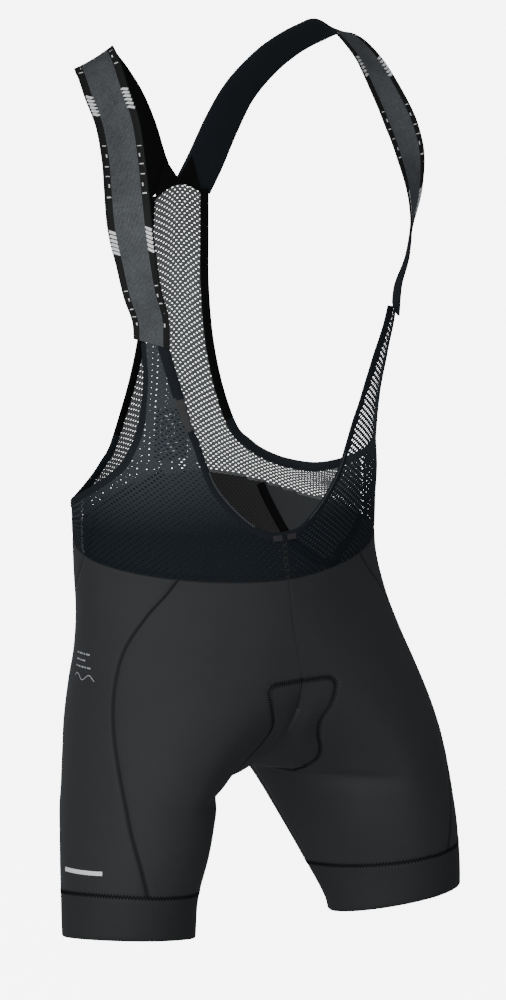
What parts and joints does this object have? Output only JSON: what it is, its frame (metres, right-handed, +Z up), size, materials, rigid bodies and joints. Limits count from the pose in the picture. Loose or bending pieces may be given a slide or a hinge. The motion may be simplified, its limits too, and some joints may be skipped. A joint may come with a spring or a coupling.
{
  "type": "padded cycling bib shorts",
  "caption": "Close-fitting knee-length cycling shorts with a crotch pad panel, net bib, elastic shoulder straps and leg bands, in hollow worn form.",
  "frame": {"origin": "between the two shoulder straps at the height where they bear on the shoulders, on the garment's middle plane", "axes": "+Z up, -Y the way the wearer faces, +X the wearer's left"},
  "size_m": [0.4248, 0.2455, 0.8604],
  "materials": {
    "knit": "matt warp-knit elastane, near black",
    "inner_knit": "matt knit, inner face with small brown-red dots",
    "pad_cloth": "matt knit over foam",
    "gripper_band": "matt elastic knit",
    "net": "open warp-knit net, navy black",
    "strap_elastic": "woven elastic, grey centre and near-black edges",
    "binding": "folded elastic binding",
    "black_cloth": "matt black tape",
    "label_cloth": "smooth woven label",
    "tab_tape": "woven tape, grey-lilac",
    "reflective_film": "bonded reflective film, silver"
  },
  "bodies": {
    "root": {"front_panel_left": "knit", "front_panel_right": "knit", "side_panel_left": "knit", "side_panel_right": "knit", "hip_insert_left": "knit", "hip_insert_right": "knit", "leg_band_left": "gripper_band", "leg_band_right": "gripper_band", "front_net_left": "net", "front_net_right": "net", "armhole_binding_left": "binding", "armhole_binding_right": "binding", "neckline_binding_left": "binding", "neckline_binding_right": "binding", "shoulder_strap_left": "strap_elastic", "shoulder_strap_right": "strap_elastic", "insert_tape_left": "black_cloth", "insert_tape_right": "black_cloth", "neckline_tab_left": "tab_tape", "neckline_tab_right": "tab_tape", "back_panel": "inner_knit", "crotch_pad_panel": "pad_cloth", "back_net": "net", "back_yoke": "black_cloth", "care_label": "label_cloth", "centre_tape_right": "black_cloth", "reflective_strip_right": "reflective_film"}
  },
  "joints": []
}
